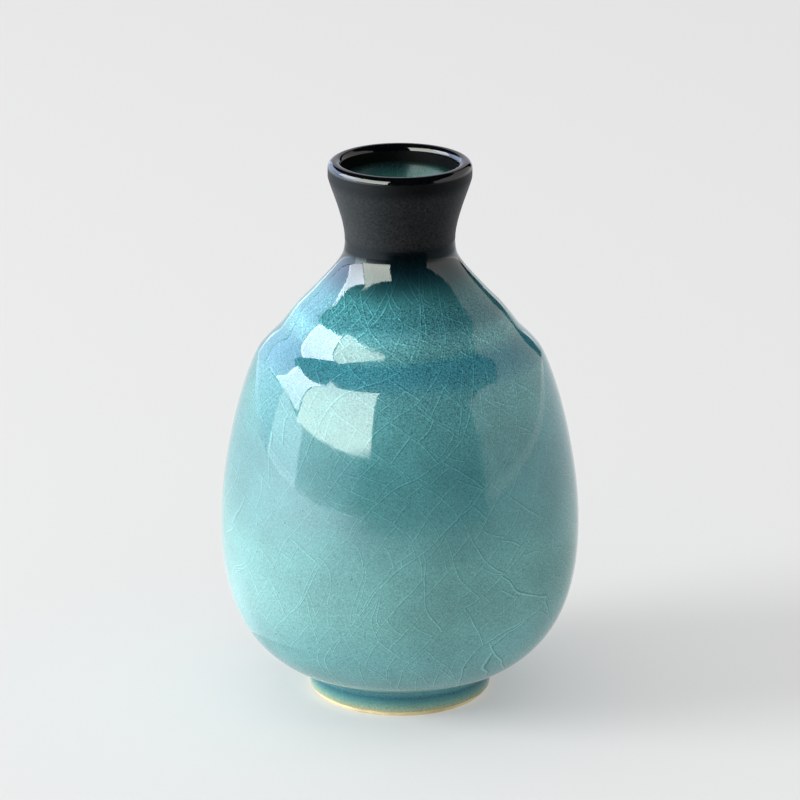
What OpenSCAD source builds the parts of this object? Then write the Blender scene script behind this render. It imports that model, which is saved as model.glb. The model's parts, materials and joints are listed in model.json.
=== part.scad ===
// Sake bottle (tokkuri): a wheel-thrown stoneware body in coats of glaze.
// Millimetres, +Z up, origin at the middle of the foot, on the table.
// Every piece is turned round the Z axis. The body is one solid of clay, and each
// coat of glaze is a thin solid that lies on it face to face.

/* [Size] */
// Height from the table to the top of the lip
height = 130; // [116:1:156]
// Radius at the belly, the widest place
belly_r = 42.4; // [36:0.2:52]
// Height of the widest place above the table
belly_z = 41.8; // [34:0.2:52]

/* [Foot] */
// Radius of the foot at its glazed lower edge
foot_r = 21.5; // [17:0.5:26]
// Height of the foot, up to where the wall spreads out
foot_h = 6.2; // [4.6:0.1:8]
// Width of the ring that the bottle stands on, with its coats
foot_ring_w = 5; // [3:0.5:8]
// Depth of the recess inside the foot ring
recess_h = 3.5; // [2:0.1:4.5]
// Height of the bare clay at the bottom of the foot
bare_h = 1; // [0.5:0.1:1.5]

/* [Shoulder and neck] */
// Distance from the top of the lip down to the waist, the narrowest place
neck_h = 18.5; // [16:0.5:26]
// Radius at the waist
waist_r = 12.9; // [11.9:0.1:16]
// Distance from the waist down to the shoulder
shoulder_h = 27.2; // [20:0.2:34]
// Radius of the shoulder, where the wall turns in
shoulder_r = 33.1; // [28:0.1:36]

/* [Lip and throat] */
// Largest radius of the lip
lip_r = 16.75; // [15:0.05:20]
// Thickness of the lip
lip_t = 3.3; // [2.4:0.1:4.4]
// Height of the upright band round the outside of the lip
lip_band = 1.85; // [0.5:0.05:4]
// Length of the straight throat behind the waist
throat_l = 8; // [4:0.5:10]
// How far the neck glaze reaches down inside the mouth
mouth_glaze_h = 4; // [2.8:0.1:5.5]

/* [Wall] */
// Thickness of the wall from the foot to the shoulder, with its coats
wall = 4.4; // [3.2:0.1:6]
// Thickness of the wall at the waist, with its coats
neck_wall = 3.4; // [2.4:0.1:4.8]
// Thickness of the floor, with its coats
floor_t = 5; // [3.5:0.1:8]
// Thickness of a coat of glaze
glaze_t = 0.5; // [0.3:0.05:0.8]

/* [Hidden] */
$fn = 96;

// Directions of the surface in degrees, going round the section anticlockwise:
// 0 leads away from the axis, 90 up, 180 to the axis and 270 down.
foot_lean = 80;
spread_lean = 22;
shoulder_lean = 130.5;

// Reach of the fillet between foot and wall, along each side of the corner
foot_fillet = 1.2;
// Bevel of the bare clay where it meets the table
foot_bevel = 0.5;

// Levels that follow from the sizes
waist_z = height - neck_h;
shoulder_z = waist_z - shoulder_h;
lip_z = height - lip_t / 2;
throat_z = waist_z - throat_l / 2;
throat_r = waist_r - neck_wall;

// Stations of the section, each [radius, height, direction of the surface]
recess_top = [0, recess_h, 0];
recess_edge = [foot_r - foot_ring_w, bare_h, 270];
foot_edge = [foot_r, bare_h, foot_lean];
foot_corner = [foot_r + (foot_h - bare_h) / tan(foot_lean), foot_h];
fillet_low = along(foot_corner, foot_lean, -foot_fillet);
fillet_high = along(foot_corner, spread_lean, foot_fillet);
belly = [belly_r, belly_z, 90];
shoulder = [shoulder_r, shoulder_z, shoulder_lean];
waist = [waist_r, waist_z, 90];
lip_low = [lip_r, lip_z - lip_band, 90];
mouth_edge = [lip_r - lip_t, height - mouth_glaze_h, 270];
throat_top = [throat_r, throat_z + throat_l, 270];
throat_low = [throat_r, throat_z, 270];
inner_shoulder = across(shoulder, wall);
inner_belly = across(belly, wall);
inner_heel = across(fillet_high, wall);
floor_middle = [0, recess_h + floor_t, 180];

// The surface of the whole bottle in four stretches, one for each coat
recess = curve(recess_top, recess_edge, 0.75, 0.1, 8);
outside = concat(
    [foot_edge],
    curve(fillet_low, fillet_high, 0.35, 0.35, 4),
    curve(fillet_high, belly, 0.4, 0.42, 16),
    curve(belly, shoulder, 0.4, 0.1, 14),
    curve(shoulder, waist, 0.83, 0.19, 16)
);
neck = concat(
    curve(waist, lip_low, 0.34, 0.1, 8),
    [lip_low],
    [for (turn = [0:18:180]) along([lip_r - lip_t / 2, lip_z], turn, lip_t / 2, 90)]
);
liner = concat(
    curve(mouth_edge, throat_top, 0.25, 0.45, 8),
    [throat_top],
    curve(throat_low, inner_shoulder, 0.22, 0.75, 14),
    curve(inner_shoulder, inner_belly, 0.1, 0.42, 12),
    curve(inner_belly, inner_heel, 0.42, 0.4, 14),
    curve(inner_heel, floor_middle, 0.2, 0.5, 8)
);

// Unit step in a direction
function heading(angle) = [cos(angle), sin(angle)];

// The station a distance from a point in a direction. The surface there is turned
// from that direction by `turned`.
function along(point, angle, distance, turned = 0) =
    let (place = point + distance * heading(angle))
    [place.x, place.y, angle + turned];

// The station on the other face of a wall, where the surface runs back the other way
function across(station, depth) =
    [station.x - depth * sin(station.z), station.y + depth * cos(station.z), station.z + 180];

// Stations along the curve from one station up to the next, which it leaves out.
// The pulls are how far each end keeps its direction, as parts of the gap between them.
function curve(from, to, pull_from, pull_to, steps) =
    let (
        start = [from.x, from.y],
        end = [to.x, to.y],
        gap = norm(end - start),
        lead = start + pull_from * gap * heading(from.z),
        trail = end - pull_to * gap * heading(to.z)
    )
    [for (i = [0:steps - 1])
        let (
            t = i / steps,
            s = 1 - t,
            place = s * s * s * start + 3 * s * s * t * lead + 3 * s * t * t * trail + t * t * t * end,
            slope = s * s * (lead - start) + 2 * s * t * (trail - lead) + t * t * (end - trail)
        )
        [place.x, place.y, atan2(slope.y, slope.x)]
    ];

// Points a depth under the surface, in the order of the stations
function under(stations, depth) =
    [for (p = stations) [p.x - depth * sin(p.z), p.y + depth * cos(p.z)]];

function reversed(points) = [for (i = [len(points) - 1:-1:0]) points[i]];

// A coat of glaze on a stretch of the surface
module coat(stations) {
    rotate_extrude()
        polygon(concat(under(stations, 0), reversed(under(stations, glaze_t))));
}

// Thrown and turned stoneware, bare only on the ring that stands on the table
module clay_body() {
    ring = [
        [recess_edge.x + glaze_t, 0],
        [foot_r - glaze_t - foot_bevel, 0],
        [foot_r - glaze_t, foot_bevel]
    ];
    surface = concat(outside, neck, liner, [floor_middle]);
    color("wheat")
        rotate_extrude()
            polygon(concat(
                under(concat(recess, [recess_edge]), glaze_t),
                ring,
                under(surface, glaze_t)
            ));
}

// Turquoise crackle glaze, from just above the table up to the waist
module body_glaze() {
    color("cadetblue")
        coat(concat(outside, [waist]));
}

// Black glaze over the neck and lip and just into the mouth
module neck_glaze() {
    color([0.07, 0.08, 0.1])
        coat(concat(neck, [mouth_edge]));
}

// Turquoise glaze down the throat and all over the inside
module liner_glaze() {
    color("darkcyan")
        coat(concat(liner, [floor_middle]));
}

// Turquoise glaze in the recess of the foot
module base_glaze() {
    color("cadetblue")
        coat(concat(recess, [recess_edge]));
}

clay_body();
body_glaze();
neck_glaze();
liner_glaze();
base_glaze();
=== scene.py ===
"""A thrown stoneware sake bottle in crackle glaze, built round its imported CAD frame."""

import json
import math
from collections import namedtuple

import bmesh
import bpy
from bpy.props import FloatProperty, FloatVectorProperty, PointerProperty
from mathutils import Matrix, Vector, noise


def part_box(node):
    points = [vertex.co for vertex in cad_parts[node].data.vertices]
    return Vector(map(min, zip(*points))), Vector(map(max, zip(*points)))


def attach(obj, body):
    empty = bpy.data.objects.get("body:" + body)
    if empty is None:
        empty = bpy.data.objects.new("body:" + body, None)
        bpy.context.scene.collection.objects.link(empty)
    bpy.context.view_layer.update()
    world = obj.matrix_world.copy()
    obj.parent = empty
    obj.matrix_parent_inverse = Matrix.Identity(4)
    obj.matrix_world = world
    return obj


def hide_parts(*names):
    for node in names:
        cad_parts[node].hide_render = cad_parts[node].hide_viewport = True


bl_info = {
    "name": "Sake Bottle",
    "version": (1, 0, 0),
    "blender": (4, 5, 0),
    "location": "3D View > Sidebar > Sake Bottle",
    "description": "Builds a stoneware sake bottle in its coats of glaze, and a small studio",
    "category": "Add Mesh",
}

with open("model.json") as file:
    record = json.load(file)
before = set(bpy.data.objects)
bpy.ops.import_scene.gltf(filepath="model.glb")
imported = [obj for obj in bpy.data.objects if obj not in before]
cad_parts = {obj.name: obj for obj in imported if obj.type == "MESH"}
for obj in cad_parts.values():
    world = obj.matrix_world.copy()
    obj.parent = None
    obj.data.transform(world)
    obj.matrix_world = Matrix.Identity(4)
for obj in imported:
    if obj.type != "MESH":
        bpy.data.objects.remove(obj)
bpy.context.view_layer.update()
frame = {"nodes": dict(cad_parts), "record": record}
MM = 0.001


def linear(code):
    """Linear red, green and blue of an sRGB hex colour."""
    parts = [int(code[i:i + 2], 16) / 255 for i in (0, 2, 4)]
    return [c / 12.92 if c <= 0.04045 else ((c + 0.055) / 1.055) ** 2.4 for c in parts]


# Sizes that the frame already holds
body_low, body_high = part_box("body_glaze")
neck_low, neck_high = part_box("neck_glaze")
liner_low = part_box("liner_glaze")[0]
base_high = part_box("base_glaze")[1]
clay_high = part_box("clay_body")[1]
throat = next(m for m in frame["record"]["mounts"] if m["name"] == "throat")
COAT = neck_high.z - clay_high.z


def length(name, about, default):
    """A size in metres that a user may change."""
    return FloatProperty(name=name, description=about, default=default, min=0.0,
                         unit="LENGTH", precision=5)


def colour(name, about, code):
    """A colour that a user may change, given as sRGB hex."""
    return FloatVectorProperty(name=name, description=about, default=linear(code),
                               size=3, min=0.0, max=1.0, subtype="COLOR")


class BottleSizes(bpy.types.PropertyGroup):
    """Sizes of the bottle."""
    height: length("Height", "Table to the top of the lip", neck_high.z)
    belly_r: length("Belly Radius", "Radius at the widest place", body_high.x)
    belly_z: length("Belly Level", "Height of the widest place", 41.8 * MM)
    foot_r: length("Foot Radius", "Radius at the glazed lower edge", 21.5 * MM)
    foot_h: length("Foot Height", "Up to where the wall spreads out", 6.2 * MM)
    recess_r: length("Recess Radius", "Radius of the recess in the foot", base_high.x - COAT)
    recess_h: length("Recess Depth", "Depth of the recess in the foot", base_high.z - COAT)
    bare_h: length("Bare Height", "Bare clay below the glaze", body_low.z)
    waist_z: length("Waist Level", "Height of the narrowest place", neck_low.z)
    waist_r: length("Waist Radius", "Radius at the narrowest place", 12.9 * MM)
    shoulder_z: length("Shoulder Level", "Height where the wall turns in", 84.3 * MM)
    shoulder_r: length("Shoulder Radius", "Radius where the wall turns in", 33.1 * MM)
    lip_r: length("Lip Radius", "Largest radius of the lip", neck_high.x)
    lip_t: length("Lip Thickness", "Thickness of the lip", 3.3 * MM)
    lip_band: length("Lip Band", "Upright band round the lip", 1.85 * MM)
    mouth_glaze_h: length("Mouth Glaze", "Neck glaze inside the mouth", 4 * MM)
    throat_r: length("Throat Radius", "Radius of the straight throat",
                     throat["dims"]["r_mm"] * MM)
    throat_l: length("Throat Length", "Length of the straight throat",
                     throat["dims"]["length_mm"] * MM)
    wall: length("Wall", "Thickness of the wall with its coats", 4.4 * MM)
    floor_z: length("Floor Level", "Top of the floor inside", liner_low.z + COAT)
    coat: length("Coat", "Thickness of a coat of glaze", COAT)


# The usual colours, which the tables of colours below are drawn for
TURQUOISE, BLACK, CLAY, PAPER = "6BA19F", "08090B", "FCE6B0", "BEBEBE"


class GlazeColours(bpy.types.PropertyGroup):
    """Colours of the glazes, the clay and the floor."""
    turquoise: colour("Turquoise", "Crackle glaze at its usual thickness", TURQUOISE)
    black: colour("Black", "Glaze of the neck", BLACK)
    clay: colour("Bare Clay", "Unglazed stoneware", CLAY)
    paper: colour("Paper", "The studio's floor", PAPER)


# ---------------------------------------------------------------- section of the bottle

# A place on the section and the direction in which the surface runs there, in radians:
# 0 leads away from the axis, a quarter turn up, a half turn back to the axis.
Station = namedtuple("Station", "r z lean")

UP, IN, DOWN = math.pi / 2, math.pi, -math.pi / 2
FOOT_LEAN = math.radians(80)
SPREAD_LEAN = math.radians(22)
SHOULDER_LEAN = math.radians(130.5)
FOOT_FILLET = 1.2 * MM


def along(point, lean, distance, turned=0.0):
    """The station a distance away in a direction, the surface turned from it."""
    return Station(point.r + distance * math.cos(lean), point.z + distance * math.sin(lean),
                   lean + turned)


def across(point, depth):
    """The station on the other face of a wall, where the surface runs back."""
    return Station(point.r - depth * math.sin(point.lean),
                   point.z + depth * math.cos(point.lean), point.lean + math.pi)


def under(stations, depth):
    """Stations a depth under the surface."""
    return [Station(p.r - depth * math.sin(p.lean), p.z + depth * math.cos(p.lean), p.lean)
            for p in stations]


def curve(start, end, pull_start, pull_end, steps):
    """Stations from one up to the next, which is left out. A pull is how far that end
    keeps its direction, as a part of the gap."""
    a, b = Vector((start.r, start.z)), Vector((end.r, end.z))
    gap = (b - a).length
    lead = a + pull_start * gap * Vector((math.cos(start.lean), math.sin(start.lean)))
    trail = b - pull_end * gap * Vector((math.cos(end.lean), math.sin(end.lean)))
    found = []
    for i in range(steps):
        t = i / steps
        s = 1 - t
        place = s ** 3 * a + 3 * s * s * t * lead + 3 * s * t * t * trail + t ** 3 * b
        slope = s * s * (lead - a) + 2 * s * t * (trail - lead) + t * t * (b - trail)
        found.append(Station(place.x, place.y, math.atan2(slope.y, slope.x)))
    return found


def section(s):
    """The surface of the whole bottle in four stretches, one for each coat. Its curves are the
    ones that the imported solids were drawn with, in finer steps."""
    lip_z = s.height - s.lip_t / 2
    throat_z = s.waist_z - s.throat_l / 2
    recess_top = Station(0, s.recess_h, 0)
    recess_edge = Station(s.recess_r, s.bare_h, DOWN)
    foot_edge = Station(s.foot_r, s.bare_h, FOOT_LEAN)
    foot_corner = Station(s.foot_r + (s.foot_h - s.bare_h) / math.tan(FOOT_LEAN), s.foot_h, 0)
    fillet_low = along(foot_corner, FOOT_LEAN, -FOOT_FILLET)
    fillet_low = Station(fillet_low.r, fillet_low.z, FOOT_LEAN)
    fillet_high = along(foot_corner, SPREAD_LEAN, FOOT_FILLET)
    belly = Station(s.belly_r, s.belly_z, UP)
    shoulder = Station(s.shoulder_r, s.shoulder_z, SHOULDER_LEAN)
    waist = Station(s.waist_r, s.waist_z, UP)
    lip_low = Station(s.lip_r, lip_z - s.lip_band, UP)
    lip_middle = Station(s.lip_r - s.lip_t / 2, lip_z, 0)
    mouth_edge = Station(s.lip_r - s.lip_t, s.height - s.mouth_glaze_h, DOWN)
    throat_top = Station(s.throat_r, throat_z + s.throat_l, DOWN)
    throat_low = Station(s.throat_r, throat_z, DOWN)
    inner_shoulder = across(shoulder, s.wall)
    inner_belly = across(belly, s.wall)
    inner_heel = across(fillet_high, s.wall)
    floor_middle = Station(0, s.floor_z, IN)
    return {
        "recess": curve(recess_top, recess_edge, 0.75, 0.1, 40) + [recess_edge],
        "outside": curve(foot_edge, fillet_low, 0.3, 0.3, 12)
        + curve(fillet_low, fillet_high, 0.35, 0.35, 12)
        + curve(fillet_high, belly, 0.4, 0.42, 84)
        + curve(belly, shoulder, 0.4, 0.1, 78)
        + curve(shoulder, waist, 0.83, 0.19, 96) + [waist],
        "neck": curve(waist, lip_low, 0.34, 0.1, 60) + curve(lip_low, Station(
            s.lip_r, lip_z, UP), 0.3, 0.3, 6)
        + [along(lip_middle, math.radians(3.75 * i), s.lip_t / 2, UP) for i in range(49)]
        + curve(Station(s.lip_r - s.lip_t, lip_z, DOWN), mouth_edge, 0.3, 0.3, 8)[1:]
        + [mouth_edge],
        "liner": curve(mouth_edge, throat_top, 0.25, 0.45, 32)
        + curve(throat_top, throat_low, 0.3, 0.3, 16)
        + curve(throat_low, inner_shoulder, 0.22, 0.75, 42)
        + curve(inner_shoulder, inner_belly, 0.1, 0.42, 36)
        + curve(inner_belly, inner_heel, 0.42, 0.4, 42)
        + curve(inner_heel, floor_middle, 0.2, 0.5, 24) + [floor_middle],
    }


# ---------------------------------------------------------------- turned pieces

AROUND = 256
# Marks of the throwing: [height, half width, how far the surface stands out], all in mm
THROWN_RINGS = [(89.0, 2.1, -0.26), (94.6, 2.2, 0.17), (63, 6, -0.03), (24, 7, -0.03)]
HAND_SWAY = 0.2 * MM
# Lower edge of the glaze: how much the outer corner is rounded off, how far the edge wanders
# upwards, and how far above it that dies out
EDGE_ROUND = 0.32 * MM
EDGE_SWAY = 0.32 * MM
EDGE_REACH = 1.5 * MM
# Height of that rounded corner, and the turns at which it is drawn
EDGE_DROP = 0.8 * EDGE_ROUND
EDGE_TURNS = (math.pi / 2, math.pi / 3, math.pi / 5, math.pi / 12)
# Low on the body the cracks are drawn out upright: fully up to the first level in mm, not at all
# from the second, and the share of the way along the wall that counts for the pattern there
DRAWN_TO, DRAWN_END, DRAWN_SHARE = 30, 64, 0.55
# Sizes of the broad and the small waves that put the wall out of true, and the small ones' sway
BROAD_WAVE, SMALL_WAVE, SMALL_SWAY = 26 * MM, 9 * MM, 0.03 * MM
# Edges that turn by more than this stay crisp
SHARP_ANGLE = math.radians(40)


def hump(value, middle, half):
    """A smooth rise round a middle, 1 high."""
    return math.exp(-((value - middle) / half) ** 2)


def soft_step(value, start, end):
    """Rises smoothly from 0 at the start to 1 at the end."""
    t = min(1.0, max(0.0, (value - start) / (end - start)))
    return t * t * (3 - 2 * t)


def rounded(stations):
    """The lower edge of the glaze, drawn in as it is by surface tension."""
    start = stations[0]
    held = [p for p in stations if p.z > start.z + EDGE_DROP]
    edge = [Station(held[0].r - EDGE_ROUND * (1 - math.cos(turn)),
                    start.z + EDGE_DROP * (1 - math.sin(turn)), UP)
            for turn in EDGE_TURNS]
    return edge + held


def thrown(stations):
    """The surface with the rings that the potter's fingers left."""
    marked = []
    for p in stations:
        out = sum(depth * hump(p.z / MM, z, half) for z, half, depth in THROWN_RINGS) * MM
        marked += under([p], -out)
    return marked


def turned(name, face, back, closed):
    """A piece turned round the axis from its outer and inner line. A closed section is a
    ring clear of the axis, and an open one begins and ends on it. Each point keeps how far
    along the wall it lies, as `run`, and whether it is on the face, as `skin`."""
    bm = bmesh.new()
    run = bm.verts.layers.float.new("run")
    skin = bm.verts.layers.float.new("skin")
    line, gone = [], 0.0
    for part, shown in ((face, 1.0), (back[::-1], 0.0)):
        last = None
        for p in part:
            step = 0.0 if last is None else math.hypot(p.r - last.r, p.z - last.z)
            step *= DRAWN_SHARE + (1 - DRAWN_SHARE) * soft_step(p.z / MM, DRAWN_TO, DRAWN_END)
            gone = gone + step if shown else gone
            vert = bm.verts.new((max(p.r, 0.0), 0, p.z))
            vert[run], vert[skin] = gone, shown
            line.append(vert)
            last = p
    pairs = list(zip(line, line[1:]))
    if closed:
        pairs.append((line[-1], line[0]))
    edges = [bm.edges.new(pair) for pair in pairs]
    bmesh.ops.spin(bm, geom=line + edges, cent=(0, 0, 0), axis=(0, 0, 1), dvec=(0, 0, 0),
                   angle=math.tau, steps=AROUND, use_merge=True, use_duplicate=False)
    bmesh.ops.remove_doubles(bm, verts=bm.verts, dist=1e-7)
    bmesh.ops.recalc_face_normals(bm, faces=bm.faces)
    for vert in bm.verts:
        if vert[skin] > 0.5:
            sway(vert)
        if name == "glaze_body":
            lift_edge(vert)
    mesh = bpy.data.meshes.new(name)
    bm.to_mesh(mesh)
    bm.free()
    mesh.polygons.foreach_set("use_smooth", [True] * len(mesh.polygons))
    mesh.set_sharp_from_angle(angle=SHARP_ANGLE)
    piece = bpy.data.objects.new(name, mesh)
    bpy.context.scene.collection.objects.link(piece)
    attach(piece, "root")
    return piece


def sway(vert):
    """Moves a point of the outer surface as a hand-thrown wall would be out of true."""
    place = vert.co
    reach = Vector((place.x, place.y, 0))
    if reach.length < 1e-6:
        return
    broad = noise.noise(place / BROAD_WAVE)
    small = noise.noise(place / SMALL_WAVE + Vector((7, 3, 5)))
    high = place.z / MM
    # Most at the shoulder, and none at the lip
    amount = (0.5 + 0.5 * hump(high, 88, 14)) * min(1.0, max(0.0, (122 - high) / 14))
    inward = (broad - 1) * 0.5 * HAND_SWAY * amount + small * SMALL_SWAY * amount
    vert.co += reach.normalized() * min(inward, 0.0)


def lift_edge(vert):
    """Lets the lower edge of the glaze wander up from its level, as where it was wiped."""
    place = vert.co
    above = (place.z - body_low.z) / EDGE_REACH
    if above < 1:
        turn = math.atan2(place.x, -place.y)
        wander = noise.noise(Vector((2.2 * math.cos(turn), 2.2 * math.sin(turn), 4)))
        wander += 0.5 * noise.noise(Vector((7 * math.cos(turn), 7 * math.sin(turn), 9)))
        place.z += EDGE_SWAY * min(1.0, max(0.0, 0.45 + 0.8 * wander)) * (1 - above)


# ---------------------------------------------------------------- materials


def add(tree, kind, inputs=None, **settings):
    """Adds a node. An input is given a value, or the socket that feeds it."""
    made = tree.nodes.new(kind)
    for key, value in settings.items():
        setattr(made, key, value)
    for key, value in (inputs or {}).items():
        socket = made.inputs[key]
        if isinstance(value, bpy.types.NodeSocket):
            tree.links.new(value, socket)
        else:
            socket.default_value = value
    return made


def opaque(value):
    """A colour with its alpha."""
    return (*value, 1.0)


def new_material(name, **values):
    """A material with one shader, and that shader's constants on its own sockets."""
    material = bpy.data.materials.new(name)
    material.use_nodes = True
    tree = material.node_tree
    tree.nodes.clear()
    shader = add(tree, "ShaderNodeBsdfPrincipled")
    for key, value in values.items():
        shader.inputs[key.replace("_", " ")].default_value = value
    add(tree, "ShaderNodeOutputMaterial", {"Surface": shader.outputs[0]})
    return material, tree, shader


# The pattern on a glaze is laid out as if the bottle were a roller of this radius, in mm
ROLLER_R = 36


def glaze_place(tree):
    """Sockets for where a point of the glaze is: its place in mm with y pointing to the
    front, its parts, its radius and its way along the section."""
    seat = add(tree, "ShaderNodeTexCoord")
    place = add(tree, "ShaderNodeVectorMath", {0: seat.outputs["Object"], 1: (1000, -1000, 1000)},
                operation="MULTIPLY").outputs[0]
    parts = add(tree, "ShaderNodeSeparateXYZ", {0: place})
    flat = add(tree, "ShaderNodeVectorMath", {0: place, 1: (1, 1, 0)}, operation="MULTIPLY")
    radius = add(tree, "ShaderNodeVectorMath", {0: flat.outputs[0]}, operation="LENGTH")
    run = add(tree, "ShaderNodeAttribute", attribute_name="run")
    way = add(tree, "ShaderNodeMath", {0: run.outputs["Fac"], 1: 1000.0}, operation="MULTIPLY")
    turn = add(tree, "ShaderNodeMath", {0: parts.outputs[0], 1: parts.outputs[1]},
               operation="ARCTAN2")
    return {"place": place, "z": parts.outputs[2], "radius": radius.outputs["Value"],
            "way": way.outputs[0], "turn": turn.outputs[0]}


def noise_field(tree, place, size, detail=2.0, roughness=0.5):
    """Noise with features of a size in mm: its value and its colour."""
    made = add(tree, "ShaderNodeTexNoise", {"Vector": place, "Scale": 1 / size,
                                            "Detail": detail, "Roughness": roughness})
    return made.outputs["Fac"], made.outputs["Color"]


# Levels of the crackle, coarse to fine: [spacing in mm, direction across the cracks in
# degrees, share that is missing, how much finer the line is than a main crack]
BODY_CRACKS = [(12.5, -38, 0.0, 0.95), (7.6, 50, 0.0, 1.05), (5.6, -30, 0.15, 1.1),
               (6.0, 62, 0.4, 1.2)]
MOUTH_CRACKS = [(11, 4, 0.0, 1.0), (26, 84, 0.3, 1.3), (8, -6, 0.3, 1.4)]
# Where the bright line of a crack lies to one side of it and the shade to the other, in mm.
# A real crack is finer, and is drawn wider so that it shows.
LIT_SIDE, SHADED_SIDE = 0.05, -0.14
# How far off a missing crack is put, in mm, how far apart the layouts of two cells lie, and how
# unevenly the cracks are spaced
FAR_OFF, CELL_SHIFT, UNEVEN = 9.0, 41.0, 0.9
# Every crack also wanders in small waves: their size and reach in mm
WANDER_SIZE, WANDER_REACH = 9.0, 2.0


def crackle(tree, at, levels, sway_size, sway_reach):
    """Distances in mm to the nearest lit line and shaded line of a crack. Each level of
    cracks is laid out afresh in every cell of the level before, so that its cracks stop
    against the older ones. The sway bends them all in waves of a size and reach in mm."""
    shift = None
    for size, reach in ((sway_size, sway_reach), (WANDER_SIZE, WANDER_REACH)):
        field = noise_field(tree, at["place"], size, 1.0)[1]
        centred = add(tree, "ShaderNodeVectorMath", {0: field, 1: (0.5, 0.5, 0.5)},
                      operation="SUBTRACT").outputs[0]
        scaled = add(tree, "ShaderNodeVectorMath", {0: centred, "Scale": reach},
                     operation="SCALE").outputs[0]
        shift = scaled if shift is None else add(
            tree, "ShaderNodeVectorMath", {0: shift, 1: scaled}, operation="ADD").outputs[0]
    parts = add(tree, "ShaderNodeSeparateXYZ", {0: shift})
    swung = add(tree, "ShaderNodeMath", {0: parts.outputs[0], 1: 1 / ROLLER_R, 2: at["turn"]},
                operation="MULTIPLY_ADD")
    turn = add(tree, "ShaderNodeMath", {0: swung.outputs[0], 1: math.pi, 2: -math.pi},
               operation="WRAP").outputs[0]
    across_way = add(tree, "ShaderNodeMath", {0: turn, 1: float(ROLLER_R)}, operation="MULTIPLY")
    down_way = add(tree, "ShaderNodeMath", {0: at["way"], 1: parts.outputs[1]}, operation="ADD")
    rolled = add(tree, "ShaderNodeCombineXYZ", {0: across_way.outputs[0],
                                                1: down_way.outputs[0]}).outputs[0]
    squeeze = add(tree, "ShaderNodeMath", {0: float(ROLLER_R), 1: at["radius"]},
                  operation="DIVIDE").outputs[0]
    stretch = add(tree, "ShaderNodeCombineXYZ", {
        0: squeeze, 1: fade(tree, at["z"], DRAWN_TO, DRAWN_END, DRAWN_SHARE, 1.0)}).outputs[0]
    # The roller's own seam is one more old crack, at the back
    opened = add(tree, "ShaderNodeMath", {0: turn}, operation="ABSOLUTE").outputs[0]
    opened = add(tree, "ShaderNodeMath", {0: math.pi, 1: opened}, operation="SUBTRACT").outputs[0]
    opened = times(tree, opened, at["radius"])
    nearest = [opened, opened]
    seed = None
    for spacing, degrees, missing, thin in levels:
        lean = (math.cos(math.radians(degrees)), math.sin(math.radians(degrees)), 0)
        reach = add(tree, "ShaderNodeVectorMath", {0: rolled, 1: [c / spacing for c in lean]},
                    operation="DOT_PRODUCT").outputs["Value"]
        if seed is not None:
            reach = add(tree, "ShaderNodeMath", {0: seed, 1: CELL_SHIFT, 2: reach},
                        operation="MULTIPLY_ADD").outputs[0]
        gap = add(tree, "ShaderNodeTexVoronoi", {"W": reach, "Scale": 1.0, "Randomness": UNEVEN},
                  voronoi_dimensions="1D", feature="DISTANCE_TO_EDGE").outputs["Distance"]
        cell = add(tree, "ShaderNodeTexVoronoi", {"W": reach, "Scale": 1.0, "Randomness": UNEVEN},
                   voronoi_dimensions="1D", feature="F1")
        side = add(tree, "ShaderNodeMath", {0: reach, 1: cell.outputs["W"]}, operation="SUBTRACT")
        side = add(tree, "ShaderNodeMath", {0: side.outputs[0]}, operation="SIGN").outputs[0]
        lean_on = add(tree, "ShaderNodeVectorMath", {0: stretch, 1: lean}, operation="MULTIPLY")
        rate = add(tree, "ShaderNodeVectorMath", {0: lean_on.outputs[0]}, operation="LENGTH")
        gap = add(tree, "ShaderNodeMath", {0: times(tree, gap, side, spacing * thin),
                                           1: rate.outputs["Value"]}, operation="DIVIDE").outputs[0]
        lost = add(tree, "ShaderNodeMath", {0: seed, 1: missing},
                   operation="LESS_THAN").outputs[0] if missing else 0.0
        for i, offset in enumerate((LIT_SIDE, SHADED_SIDE)):
            away = add(tree, "ShaderNodeMath", {0: gap, 1: offset}, operation="SUBTRACT")
            away = add(tree, "ShaderNodeMath", {0: away.outputs[0]}, operation="ABSOLUTE")
            away = add(tree, "ShaderNodeMath", {0: lost, 1: FAR_OFF, 2: away.outputs[0]},
                       operation="MULTIPLY_ADD").outputs[0]
            nearest[i] = add(tree, "ShaderNodeMath", {0: nearest[i], 1: away},
                             operation="MINIMUM").outputs[0]
        chance = add(tree, "ShaderNodeSeparateColor", {0: cell.outputs["Color"]}).outputs[0]
        seed = chance if seed is None else add(
            tree, "ShaderNodeMath", {0: add(tree, "ShaderNodeMath", {0: seed, 1: chance},
                                            operation="ADD").outputs[0]},
            operation="FRACT").outputs[0]
    return nearest


def fade(tree, value, start, end, low=0.0, high=1.0):
    """A smooth change between two values of a socket."""
    return add(tree, "ShaderNodeMapRange", {"Value": value, "From Min": start, "From Max": end,
                                            "To Min": low, "To Max": high},
               interpolation_type="SMOOTHSTEP").outputs[0]


def times(tree, *factors):
    """Several sockets or values multiplied."""
    product = factors[0]
    for factor in factors[1:]:
        product = add(tree, "ShaderNodeMath", {0: product, 1: factor},
                      operation="MULTIPLY").outputs[0]
    return product


def ramp(tree, value, stops):
    """Colours along a value. Each stop is [value, colour]; the value runs to the last."""
    low, high = stops[0][0], stops[-1][0]
    part = add(tree, "ShaderNodeMapRange", {"Value": value, "From Min": low, "From Max": high})
    made = add(tree, "ShaderNodeValToRGB", {0: part.outputs[0]})
    marks = made.color_ramp.elements
    while len(marks) < len(stops):
        marks.new(0.5)
    for mark, (at, shade) in zip(marks, stops):
        mark.position = (at - low) / (high - low)
        mark.color = opaque(shade)
    return made.outputs["Color"]


def tinted(stops, chosen, usual):
    """Stops drawn for a usual colour, for the colour that is chosen in its place."""
    change = [c / u for c, u in zip(chosen, linear(usual))]
    return [(at, [a * b for a, b in zip(linear(code), change)]) for at, code in stops]


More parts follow.
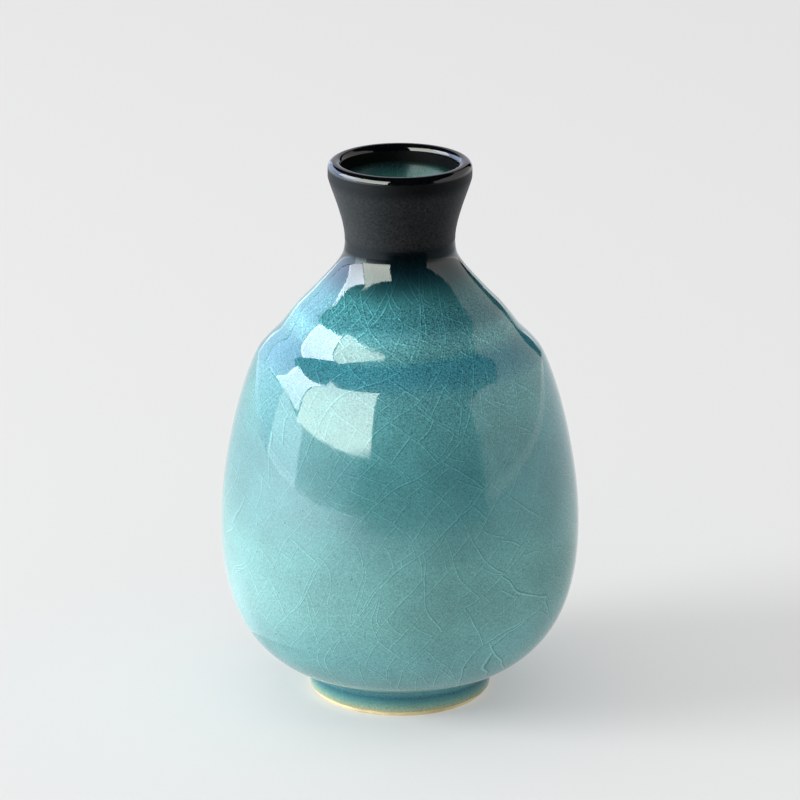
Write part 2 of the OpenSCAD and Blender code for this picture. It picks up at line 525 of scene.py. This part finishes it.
def shaded(tree, ground, factor):
    """A colour multiplied by a plain factor."""
    return add(tree, "ShaderNodeVectorMath", {0: ground, "Scale": factor},
               operation="SCALE").outputs[0]


def relief(tree, fields):
    """Bump from several heights, each [socket, height in mm]."""
    total = None
    for socket, tall in fields:
        total = times(tree, socket, tall) if total is None else add(
            tree, "ShaderNodeMath", {0: socket, 1: tall, 2: total},
            operation="MULTIPLY_ADD").outputs[0]
    return add(tree, "ShaderNodeBump",
               {"Strength": 1.0, "Distance": MM, "Height": total}).outputs[0]


# How much the glassy and the satin glaze mirror straight on, where 0.5 is the usual amount.
# Both are kept below what real glass has, to suit the strong cards of the studio.
GLAZE_GLOSS, SATIN_GLOSS = 0.24, 0.045

# Colour of the body glaze by height in mm: thin over the bare foot, pooled where the foot meets the
# wall with painted shade in that corner too, pooled in the groove of the shoulder, and black under
# the waist
BODY_STOPS = [
    (0.0, "C3B587"), (1.4, "AEAF8C"), (2.2, "86A695"), (3.4, "588F8C"), (4.8, "366D7A"),
    (6.0, "47858E"), (7.4, "6EA2A1"), (10, "6B9D9E"), (20, "6DA4A6"), (32, "6AA09E"),
    (44, "649B9A"), (54, "558C8E"), (66, "4C868A"), (76, "538F92"), (83, "518C91"),
    (86, "3E7C88"), (89, "387985"), (91.5, "559093"), (93.5, "548F94"), (96, "3B737A"),
    (100, "366D72"), (102, "295A5E"), (104, "173A3F"), (106, "0C232A"), (108, "071619"),
    (110.5, "050B0F"), (112, "050608"),
]


# The grain of the body glaze, drawn coarser than real grain so that it shows: size in mm,
# strength low and high on the body, and how dark it may go
GRAIN_SIZE, GRAIN_LOW, GRAIN_HIGH, GRAIN_FLOOR = 0.36, 1.05, 2.9, 0.3
# Crackle of the body: broad waves in mm, strength of the lit line low on the body and what it
# gains up to the shoulder, and strength of the shade
CRACK_SWAY, CRACK_LIT, CRACK_GAIN, CRACK_SHADE = (46.0, 34.0), 0.4, 0.27, 0.34
# Iron specks: spacing in mm, smallest and largest radius as parts of it, how much darker they are
SPECK_GAP, SPECK_SMALL, SPECK_LARGE, SPECK_DARK = 2.2, 0.01, 0.11, 0.45
# Relief of the glazes in mm: slow waves in the glass, cracks, and runs under the neck
PEEL_RISE, CRACK_RISE, RUN_RISE = 0.012, 0.002, 0.03
# How closely the runs lie, as noise periods to a radian of turn, and their length in mm
RUNS_ROUND, RUN_LENGTH = 15.0, 30
# The side on which a band above the shoulder rings is painted lighter, as painted light where the
# soft light falls from the left, with y pointing to the front
PAINTED_LIGHT_SIDE = (-0.8, 0.6, 0)


def body_glaze_material(colours):
    """Turquoise copper glaze, poured thick and crazed as it cooled. It is glass over clay,
    so highlights are sharp, and its net of fine cracks shows as light lines with a shade
    beside them. Iron in it leaves a fine dark grain and small specks."""
    material, tree, shader = new_material("turquoise_crackle_glaze", IOR=1.5,
                                          Specular_IOR_Level=GLAZE_GLOSS)
    at = glaze_place(tree)
    lit, shade = crackle(tree, at, BODY_CRACKS, *CRACK_SWAY)
    cover = times(tree, fade(tree, noise_field(tree, at["place"], 24.0)[0], 0.34, 0.58, 0.7, 1.0),
                  fade(tree, at["z"], 7, 14, 0.15, 1.0))
    upper = fade(tree, at["z"], 70, 98)
    grain = noise_field(tree, at["place"], GRAIN_SIZE, 1.0)[0]
    cloud = noise_field(tree, at["place"], 13.0, 3.0)[0]
    wave = noise_field(tree, at["place"], 17.0, 1.0)[0]
    loose = add(tree, "ShaderNodeMath", {0: grain, 1: 0.5}, operation="SUBTRACT").outputs[0]
    spread = fade(tree, at["z"], 92, 104, 0.5, 7.0)
    level = add(tree, "ShaderNodeMath", {0: loose, 1: spread, 2: at["z"]},
                operation="MULTIPLY_ADD").outputs[0]
    uneven = add(tree, "ShaderNodeMath", {0: wave, 1: 0.5}, operation="SUBTRACT").outputs[0]
    level = add(tree, "ShaderNodeMath", {0: uneven, 1: fade(tree, at["z"], 6, 30, 0.0, 4.0),
                                         2: level}, operation="MULTIPLY_ADD").outputs[0]
    # The dark band of the ramp where the foot meets the wall is pooled glaze with painted shade in
    # the corner
    ground = ramp(tree, level, tinted(BODY_STOPS, colours.turquoise, TURQUOISE))
    tone = fade(tree, cloud, 0.3, 0.7, 0.92, 1.08)
    coarse = fade(tree, at["z"], 64, 100, GRAIN_LOW, GRAIN_HIGH)
    rough_grain = add(tree, "ShaderNodeMath", {0: loose, 1: coarse, 2: 1.0},
                      operation="MULTIPLY_ADD").outputs[0]
    rough_grain = add(tree, "ShaderNodeMath", {0: rough_grain, 1: GRAIN_FLOOR},
                      operation="MAXIMUM").outputs[0]
    bright = add(tree, "ShaderNodeMath", {0: upper, 1: CRACK_GAIN, 2: CRACK_LIT},
                 operation="MULTIPLY_ADD")
    bright = times(tree, fade(tree, lit, 0.04, 0.19, 1.0, 0.0), cover, bright.outputs[0])
    dark = times(tree, fade(tree, shade, 0.03, 0.17, 1.0, 0.0), cover, CRACK_SHADE)
    line = add(tree, "ShaderNodeMath", {0: bright, 1: dark}, operation="SUBTRACT")
    line = add(tree, "ShaderNodeMath", {0: line.outputs[0], 1: 1.0}, operation="ADD").outputs[0]
    spot = add(tree, "ShaderNodeTexVoronoi", {"Vector": at["place"], "Scale": 1 / SPECK_GAP})
    pick = add(tree, "ShaderNodeSeparateColor", {0: spot.outputs["Color"]}).outputs[0]
    size = fade(tree, pick, 0.35, 1.0, SPECK_SMALL, SPECK_LARGE)
    speck = add(tree, "ShaderNodeMath", {0: spot.outputs["Distance"], 1: size},
                operation="LESS_THAN").outputs[0]
    speck = add(tree, "ShaderNodeMath", {0: speck, 1: -SPECK_DARK, 2: 1.0},
                operation="MULTIPLY_ADD")
    # Painted light: above the shoulder rings the band is lighter on the left-front side, where the
    # soft light falls
    side = add(tree, "ShaderNodeVectorMath", {0: at["place"], 1: PAINTED_LIGHT_SIDE},
               operation="DOT_PRODUCT").outputs["Value"]
    side = add(tree, "ShaderNodeMath", {0: side, 1: at["radius"]}, operation="DIVIDE").outputs[0]
    band = times(tree, fade(tree, at["z"], 91, 95), fade(tree, at["z"], 99, 104, 1.0, 0.0))
    painted_light_gain = fade(tree, side, -0.1, 1.0, -0.1, 0.5)
    painted_light_factor = add(tree, "ShaderNodeMath", {0: painted_light_gain, 1: band, 2: 1.0},
               operation="MULTIPLY_ADD").outputs[0]
    factor = times(tree, tone, rough_grain, line, speck.outputs[0], painted_light_factor)
    tree.links.new(shaded(tree, ground, factor), shader.inputs["Base Color"])
    # Runs in the glaze follow the wall down from the neck
    bent = add(tree, "ShaderNodeMath", {0: at["turn"], 1: RUNS_ROUND}, operation="MULTIPLY")
    slow = times(tree, at["way"], 1 / RUN_LENGTH)
    runs = add(tree, "ShaderNodeCombineXYZ", {0: bent.outputs[0], 1: slow}).outputs[0]
    runs = add(tree, "ShaderNodeTexNoise", {"Vector": runs, "Scale": 1.0, "Detail": 2.0})
    runs = times(tree, runs.outputs["Fac"], fade(tree, at["z"], 90, 98),
                 fade(tree, at["z"], 104, 108, 1.0, 0.0))
    peel = noise_field(tree, at["place"], 3.2, 1.0)[0]
    tree.links.new(relief(tree, [(peel, PEEL_RISE), (line, CRACK_RISE), (runs, RUN_RISE)]),
                   shader.inputs["Normal"])
    tree.links.new(fade(tree, cloud, 0.35, 0.65, 0.03, 0.07), shader.inputs["Roughness"])
    tree.links.new(fade(tree, at["z"], 108.0, 109.4, GLAZE_GLOSS, SATIN_GLOSS),
                   shader.inputs["Specular IOR Level"])
    return material


# Colour of the neck glaze by height in mm: charcoal where it is satin, black in the lip's glass
NECK_STOPS = [(111, "090C0F"), (113, "1B1C1D"), (124, "1E1F20"), (125.6, "0E0F11"),
              (126.4, "060708"), (130, "060709")]
# Grit of the black glaze in mm, drawn coarser than real grit so that it shows, and its relief
GRIT_SIZE, GRIT_RISE = 0.5, 0.004
# How much rougher the satin is than the glass of the lip
SATIN_ROUGH = 0.36


def neck_glaze_material(colours):
    """Black iron glaze over the neck, almost without colour. It is satin with a fine grit up
    the neck, where it is thin, and glassy where it gathers round the lip."""
    material, tree, shader = new_material("black_iron_glaze", IOR=1.5,
                                          Specular_IOR_Level=GLAZE_GLOSS)
    at = glaze_place(tree)
    grain = noise_field(tree, at["place"], GRIT_SIZE, 2.0)[0]
    ground = ramp(tree, at["z"], tinted(NECK_STOPS, colours.black, BLACK))
    grit = add(tree, "ShaderNodeMapRange", {"Value": grain, "From Min": 0.3, "From Max": 0.7,
                                            "To Min": 0.35, "To Max": 1.65}).outputs[0]
    tree.links.new(shaded(tree, ground, grit), shader.inputs["Base Color"])
    satin = fade(tree, at["z"], 128.1, 128.8, 1.0, 0.0)
    cloud = noise_field(tree, at["place"], 9.0, 2.0)[0]
    shine = fade(tree, cloud, 0.35, 0.65, 0.03, 0.08)
    rough = add(tree, "ShaderNodeMath", {0: satin, 1: SATIN_ROUGH, 2: shine},
                operation="MULTIPLY_ADD")
    tree.links.new(rough.outputs[0], shader.inputs["Roughness"])
    dull = add(tree, "ShaderNodeMapRange", {"Value": satin, "To Min": GLAZE_GLOSS,
                                            "To Max": SATIN_GLOSS})
    tree.links.new(dull.outputs[0], shader.inputs["Specular IOR Level"])
    peel = noise_field(tree, at["place"], 2.6, 1.0)[0]
    tree.links.new(relief(tree, [(peel, PEEL_RISE), (grain, GRIT_RISE)]),
                   shader.inputs["Normal"])
    return material


# Colour of the liner glaze by height in mm: turquoise inside, darkening into the black above it
LINER_STOPS = [(8, "6EA5A0"), (90, "6EA5A0"), (117, "5F9A95"), (120, "4C8480"), (122, "3E716E"),
               (123.3, "305C5A"), (124.3, "23474A"), (125.3, "122A28"), (126.2, "0A1614"),
               (127.5, "07090B")]


def liner_glaze_material(colours):
    """The same turquoise glaze, poured round inside. Under the black of the lip it turns
    from black to teal, with close upright cracks."""
    material, tree, shader = new_material("teal_liner_glaze", IOR=1.5,
                                          Specular_IOR_Level=0.08)
    at = glaze_place(tree)
    lit, shade = crackle(tree, at, MOUTH_CRACKS, 30.0, 8.0)
    grain = noise_field(tree, at["place"], 0.5, 2.0)[0]
    loose = add(tree, "ShaderNodeMath", {0: grain, 1: 0.5}, operation="SUBTRACT").outputs[0]
    level = add(tree, "ShaderNodeMath", {0: loose, 1: 3.0, 2: at["z"]},
                operation="MULTIPLY_ADD").outputs[0]
    ground = ramp(tree, level, tinted(LINER_STOPS, colours.turquoise, TURQUOISE))
    line = times(tree, fade(tree, lit, 0.05, 0.25, 1.35, 1.0),
                 fade(tree, shade, 0.05, 0.25, 0.75, 1.0))
    grit = add(tree, "ShaderNodeMapRange", {"Value": grain, "From Min": 0.25, "From Max": 0.75,
                                            "To Min": 0.85, "To Max": 1.15}).outputs[0]
    tree.links.new(shaded(tree, ground, times(tree, line, grit)), shader.inputs["Base Color"])
    cloud = noise_field(tree, at["place"], 9.0, 2.0)[0]
    tree.links.new(fade(tree, cloud, 0.35, 0.65, 0.2, 0.32), shader.inputs["Roughness"])
    tree.links.new(relief(tree, [(cloud, 0.05), (line, 0.01)]), shader.inputs["Normal"])
    return material


# Colour of the base glaze by radius in mm, thin at the bare ring and pooled in the corner
BASE_STOPS = [(0, "6A9E9D"), (9, "6A9E9D"), (14, "336A7E"), (16, "9DB3A0"), (16.6, "EBD3A0")]


def base_glaze_material(colours):
    """The turquoise glaze in the recess of the foot, dark where it pooled in the corner."""
    material, tree, shader = new_material("base_crackle_glaze", IOR=1.5,
                                          Specular_IOR_Level=GLAZE_GLOSS)
    at = glaze_place(tree)
    # The recess is almost flat, so its crackle is laid out straight up on it
    x, y, _ = add(tree, "ShaderNodeSeparateXYZ", {0: at["place"]}).outputs
    flat = dict(at, turn=times(tree, x, 1 / ROLLER_R), way=y, radius=float(ROLLER_R))
    lit, shade = crackle(tree, flat, BODY_CRACKS, 30.0, 20.0)
    grain = noise_field(tree, at["place"], 0.55, 2.0)[0]
    ground = ramp(tree, at["radius"], tinted(BASE_STOPS, colours.turquoise, TURQUOISE))
    line = times(tree, fade(tree, lit, 0.05, 0.2, 1.2, 1.0),
                 fade(tree, shade, 0.05, 0.2, 0.7, 1.0))
    grit = add(tree, "ShaderNodeMapRange", {"Value": grain, "From Min": 0.25, "From Max": 0.75,
                                            "To Min": 0.85, "To Max": 1.15}).outputs[0]
    tree.links.new(shaded(tree, ground, times(tree, line, grit)), shader.inputs["Base Color"])
    cloud = noise_field(tree, at["place"], 9.0, 2.0)[0]
    tree.links.new(fade(tree, cloud, 0.35, 0.65, 0.04, 0.1), shader.inputs["Roughness"])
    tree.links.new(relief(tree, [(cloud, 0.08)]), shader.inputs["Normal"])
    return material


# Colour of the bare clay by the strength of a patchy noise
CLAY_STOPS = [(0.3, "F6E8BC"), (0.55, "E8D6A6"), (0.7, "DAC490")]


def clay_material(colours):
    """Fired stoneware, wiped clean of glaze at the foot. It is dry and matt, a warm cream
    with a sandy grain, drawn at a third of a millimetre so that it shows."""
    material, tree, shader = new_material("bare_stoneware", IOR=1.5, Specular_IOR_Level=0.2)
    at = glaze_place(tree)
    sand = noise_field(tree, at["place"], 0.35, 3.0, 0.7)[0]
    patch = noise_field(tree, at["place"], 6.0, 2.0)[0]
    dark = add(tree, "ShaderNodeMapRange", {"Value": sand, "From Min": 0.3, "From Max": 0.7,
                                            "To Min": 0.86, "To Max": 1.05}).outputs[0]
    warm = ramp(tree, patch, tinted(CLAY_STOPS, colours.clay, CLAY))
    tree.links.new(shaded(tree, warm, dark), shader.inputs["Base Color"])
    tree.links.new(fade(tree, sand, 0.3, 0.7, 0.7, 0.9), shader.inputs["Roughness"])
    tree.links.new(relief(tree, [(sand, 0.08)]), shader.inputs["Normal"])
    return material


# ---------------------------------------------------------------- operators


class SAKE_OT_body_glaze(bpy.types.Operator):
    """Builds the turquoise glaze from the foot to the waist."""
    bl_idname = "sake.body_glaze"
    bl_label = "Body Glaze"

    def execute(self, context):
        sizes, colours = context.scene.sake_sizes, context.scene.sake_colours
        face = section(sizes)["outside"]
        piece = turned("glaze_body", thrown(rounded(face)),
                       under(face[::4] + face[-1:], sizes.coat), True)
        piece.data.materials.append(body_glaze_material(colours))
        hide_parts("body_glaze")
        return {"FINISHED"}


class SAKE_OT_neck_glaze(bpy.types.Operator):
    """Builds the black glaze over the neck and lip."""
    bl_idname = "sake.neck_glaze"
    bl_label = "Neck Glaze"

    def execute(self, context):
        sizes, colours = context.scene.sake_sizes, context.scene.sake_colours
        face = section(sizes)["neck"]
        piece = turned("glaze_neck", face, under(face[::2] + face[-1:], sizes.coat), True)
        piece.data.materials.append(neck_glaze_material(colours))
        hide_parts("neck_glaze")
        return {"FINISHED"}


class SAKE_OT_liner_glaze(bpy.types.Operator):
    """Builds the glaze inside, from the mouth to the floor."""
    bl_idname = "sake.liner_glaze"
    bl_label = "Liner Glaze"

    def execute(self, context):
        sizes, colours = context.scene.sake_sizes, context.scene.sake_colours
        face = section(sizes)["liner"]
        piece = turned("glaze_liner", face, under(face[:-1:3] + face[-1:], sizes.coat), False)
        piece.data.materials.append(liner_glaze_material(colours))
        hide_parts("liner_glaze")
        return {"FINISHED"}


class SAKE_OT_base_glaze(bpy.types.Operator):
    """Builds the glaze in the recess of the foot."""
    bl_idname = "sake.base_glaze"
    bl_label = "Base Glaze"

    def execute(self, context):
        sizes, colours = context.scene.sake_sizes, context.scene.sake_colours
        face = section(sizes)["recess"]
        piece = turned("glaze_base", face, under(face[:-1:3] + face[-1:], sizes.coat), False)
        piece.data.materials.append(base_glaze_material(colours))
        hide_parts("base_glaze")
        return {"FINISHED"}


class SAKE_OT_clay(bpy.types.Operator):
    """Gives the clay body its bare stoneware."""
    bl_idname = "sake.clay"
    bl_label = "Clay Body"

    def execute(self, context):
        slots = frame["nodes"]["clay_body"].data.materials
        slots.clear()
        slots.append(clay_material(context.scene.sake_colours))
        return {"FINISHED"}


# Cards that only reflections see. Each has four corners, from the lower left round by the
# right, as [turn from the front, rise] in degrees, where left is negative, then its colour
# and its brightness at those corners.
CARDS = [
    ("window_warm", [(-79, 9), (-20, 9), (-20, 54), (-79, 51)], "F8FFF4", (22, 25, 19, 19)),
    ("window_cool", [(-114, 14), (-80, 11), (-80, 47), (-114, 36)], "ECF4FF",
     (15, 22, 36, 22)),
    ("left_low", [(-100, -3), (-72, -3), (-72, 8.5), (-100, 13)], "E4F4FF", (9, 14, 14, 11)),
    ("left_wall", [(-165, -3), (-100, -3), (-100, 13), (-165, 11)], "CFE4FF", (1.5, 5, 8, 1.5)),
    ("left_high", [(-165, 11), (-112, 14), (-112, 36), (-165, 18)], "C4D8FF", (2, 9, 10, 2)),
    ("front_low", [(-72, -3), (-26, -3), (-26, 9), (-72, 9)], "EAF6FF", (6, 0.8, 1.5, 6)),
    ("right_near", [(55, -3), (80, -3), (80, 36), (55, 22)], "FAF4EE", (2, 2, 2.6, 2.6)),
    ("right_far", [(80, -3), (150, -3), (150, 44), (80, 36)], "FAF4EE", (2.2, 1, 0.6, 2.6)),
    ("back_wall", [(160, -3), (200, -3), (200, 40), (160, 40)], "F0F4FF", (1, 1, 1, 1)),
]
CARD_RADIUS, CARD_LEVEL = 1.5, 0.08
# The dark card between the bottle and the camera: left and right turn, height and radius
FLAG = (-36, 60, 0.13, 0.33)
# The lit table on either side as the glaze mirrors it: name, turn from and to, radius from
# and to, the turn where it is brightest, how wide it falls off, and its brightness
TABLES = [("table_left", -178, 30, 0.047, 1.45, -70, 44, 16),
          ("table_right", 30, 178, 0.12, 1.45, 95, 50, 1.8)]
TABLE_COLOUR = "E4F4FF"
# The room: which way it is lighter, how light in the middle, and how light the camera sees it
ROOM_LEAN, ROOM_LEVEL, ROOM_SEEN = (-0.2, 0, 0.3), 0.55, 0.8
# The floor's radius in metres, and its own glow
FLOOR_RADIUS, PAPER_GLOW = 8.0, 0.29
# The soft light: turn and rise in degrees, distance and size in metres, watts and colour
KEY_LIGHT = (-78, 18, 2.2, 1.1, 50.0, "FCFEFF")
# The camera: lens and sensor in mm, rise in degrees, distance and the level it looks at in metres
LENS, SENSOR, RISE, DISTANCE, TARGET = 199.1, 36, 18.4, 1.04, 71.6 * MM


def shared(corners, u, v):
    """A value between four corner values, from the lower left round by the right."""
    low = (1 - u) * corners[0] + u * corners[1]
    return (1 - v) * low + v * ((1 - u) * corners[3] + u * corners[2])


def new_piece(name, bm, material):
    """An object from a finished bmesh, as a part of the studio."""
    mesh = bpy.data.meshes.new(name)
    bm.to_mesh(mesh)
    bm.free()
    mesh.materials.append(material)
    piece = bpy.data.objects.new(name, mesh)
    bpy.context.scene.collection.objects.link(piece)
    return piece


def card(name, spot, code, power, dark=False):
    """A card that only reflections see. `spot` and `power` give the place and brightness at
    u and v across it. A dark card hides that part of what lies behind it instead."""
    bm = bmesh.new()
    bmesh.ops.create_grid(bm, x_segments=48, y_segments=24, size=1.0)
    strength = bm.verts.layers.float.new("power")
    for vert in bm.verts:
        u, v = (vert.co.x + 1) / 2, (vert.co.y + 1) / 2
        vert[strength] = power(u, v)
        vert.co = spot(u, v)
    material = bpy.data.materials.new(name)
    material.use_nodes = True
    tree = material.node_tree
    tree.nodes.clear()
    stored = add(tree, "ShaderNodeAttribute", attribute_name="power").outputs["Fac"]
    glow = add(tree, "ShaderNodeEmission", {"Color": opaque(linear(code)),
                                            "Strength": 0.0 if dark else stored}).outputs[0]
    hole = add(tree, "ShaderNodeBsdfTransparent").outputs[0]
    if dark:
        glow = add(tree, "ShaderNodeMixShader", {0: stored, 1: hole, 2: glow})
    else:
        glow = add(tree, "ShaderNodeAddShader", {0: hole, 1: glow})
    add(tree, "ShaderNodeOutputMaterial", {"Surface": glow.outputs[0]})
    piece = new_piece(name, bm, material)
    piece.visible_camera = piece.visible_diffuse = piece.visible_shadow = False


def round_spot(corners, radius, level):
    """Places on a drum round the bottle, from corners given as turn and rise."""
    def spot(u, v):
        turn, rise = (math.radians(shared([c[i] for c in corners], u, v)) for i in (0, 1))
        return Vector((radius * math.sin(turn), -radius * math.cos(turn),
                       level + radius * math.tan(rise)))
    return spot


def table_spot(first, last, near, far):
    """Places just above the floor round the bottle, closer together towards it."""
    def spot(u, v):
        turn, reach = math.radians(first + u * (last - first)), near * (far / near) ** v
        return Vector((reach * math.sin(turn), -reach * math.cos(turn), MM / 2))
    return spot


def table_power(first, last, middle, half, power):
    """Brightness over a lit table, less towards the bottle."""
    def at(u, v):
        reach = 0.05 + 0.2 * soft_step(v, 0, 0.2) + 0.4 * soft_step(v, 0.1, 0.8)
        return power * hump(first + u * (last - first), middle, half) * reach
    return at


def flag_power(u, v):
    """How much of the light the dark flag takes, with soft edges below and at both sides."""
    return soft_step(v, 0, 0.34) * soft_step(u, 0, 0.3) * soft_step(1 - u, 0, 0.1)


def cards():
    """All the cards: windows and walls, the lit table and the dark flag in front."""
    for name, corners, code, powers in CARDS:
        card(name, round_spot(corners, CARD_RADIUS, CARD_LEVEL), code,
             lambda u, v, powers=powers: shared(powers, u, v))
    for name, first, last, near, far, middle, half, power in TABLES:
        card(name, table_spot(first, last, near, far), TABLE_COLOUR,
             table_power(first, last, middle, half, power))
    left, right, height, radius = FLAG
    rise = math.degrees(math.atan(height / radius))
    corners = [(left, 0), (right, 0), (right, rise), (left, rise)]
    card("dark_flag", round_spot(corners, radius, MM), "000000", flag_power, dark=True)


def area_light(name, turn, rise, distance, size, power, colour_code):
    """A soft light that shapes the form but stays out of reflections."""
    light = bpy.data.lights.new(name, "AREA")
    light.shape = "DISK"
    light.size = size
    light.energy = power
    light.color = linear(colour_code)
    a, e = math.radians(turn), math.radians(rise)
    way = Vector((math.sin(a) * math.cos(e), -math.cos(a) * math.cos(e), math.sin(e)))
    piece = bpy.data.objects.new(name, light)
    piece.location = way * distance
    piece.rotation_euler = way.to_track_quat("Z", "Y").to_euler()
    piece.visible_camera = piece.visible_glossy = False
    bpy.context.scene.collection.objects.link(piece)


class SAKE_OT_studio(bpy.types.Operator):
    """Sets the floor, the soft light and the camera."""
    bl_idname = "sake.studio"
    bl_label = "Studio"

    def execute(self, context):
        scene = context.scene
        bm = bmesh.new()
        bmesh.ops.create_circle(bm, cap_ends=True, segments=64, radius=FLOOR_RADIUS)
        # A sheet that is lit a little from below, so that shadows on it stay light
        material, tree, shader = new_material(
            "matt_paper", Roughness=1.0, Specular_IOR_Level=0.0, Emission_Color=(1, 1, 1, 1),
            Emission_Strength=PAPER_GLOW)
        shader.inputs["Base Color"].default_value = opaque(scene.sake_colours.paper)
        new_piece("paper_floor", bm, material)
        world = bpy.data.worlds.new("soft_room")
        world.use_nodes = True
        tree = world.node_tree
        tree.nodes.clear()
        # The room is lighter on the left and overhead, and even where the camera sees it
        way = add(tree, "ShaderNodeTexCoord").outputs["Generated"]
        lean = add(tree, "ShaderNodeVectorMath", {0: way, 1: ROOM_LEAN},
                   operation="DOT_PRODUCT").outputs["Value"]
        lean = add(tree, "ShaderNodeMath", {0: lean, 1: ROOM_LEVEL}, operation="ADD").outputs[0]
        soft = add(tree, "ShaderNodeBackground", {"Color": (1, 1, 1, 1), "Strength": lean})
        plain = add(tree, "ShaderNodeBackground", {"Color": (1, 1, 1, 1), "Strength": ROOM_SEEN})
        seen = add(tree, "ShaderNodeLightPath").outputs["Is Camera Ray"]
        mixed = add(tree, "ShaderNodeMixShader", {0: seen, 1: soft.outputs[0],
                                                  2: plain.outputs[0]})
        add(tree, "ShaderNodeOutputWorld", {"Surface": mixed.outputs[0]})
        world.cycles_visibility.glossy = False
        scene.world = world
        cards()
        area_light("key_light", *KEY_LIGHT)
        eye = bpy.data.cameras.new("camera")
        eye.lens, eye.sensor_width, eye.clip_end = LENS, SENSOR, 50
        rise = math.radians(RISE)
        camera = bpy.data.objects.new("camera", eye)
        camera.location = (0, -DISTANCE * math.cos(rise), TARGET + DISTANCE * math.sin(rise))
        camera.rotation_euler = (math.pi / 2 - rise, 0, 0)
        scene.collection.objects.link(camera)
        scene.camera = camera
        scene.view_settings.view_transform = "Standard"
        return {"FINISHED"}


class SAKE_PT_bottle(bpy.types.Panel):
    """Lists the bottle's pieces, sizes and colours."""
    bl_idname = "SAKE_PT_bottle"
    bl_label = "Sake Bottle"
    bl_space_type = "VIEW_3D"
    bl_region_type = "UI"
    bl_category = "Sake Bottle"

    def draw(self, context):
        for step in STEPS:
            self.layout.operator(step.bl_idname)
        for group in (context.scene.sake_sizes, context.scene.sake_colours):
            for key in group.__annotations__:
                self.layout.prop(group, key)


STEPS = [SAKE_OT_body_glaze, SAKE_OT_neck_glaze, SAKE_OT_liner_glaze, SAKE_OT_base_glaze,
         SAKE_OT_clay, SAKE_OT_studio]
CLASSES = [BottleSizes, GlazeColours, *STEPS, SAKE_PT_bottle]


def register():
    for made in CLASSES:
        bpy.utils.register_class(made)
    bpy.types.Scene.sake_sizes = PointerProperty(type=BottleSizes)
    bpy.types.Scene.sake_colours = PointerProperty(type=GlazeColours)


def unregister():
    del bpy.types.Scene.sake_colours
    del bpy.types.Scene.sake_sizes
    for made in reversed(CLASSES):
        bpy.utils.unregister_class(made)


def main():
    """Builds the whole bottle and its studio."""
    register()
    bpy.ops.sake.body_glaze()
    bpy.ops.sake.neck_glaze()
    bpy.ops.sake.liner_glaze()
    bpy.ops.sake.base_glaze()
    bpy.ops.sake.clay()
    bpy.ops.sake.studio()


if __name__ == "__main__":
    main()
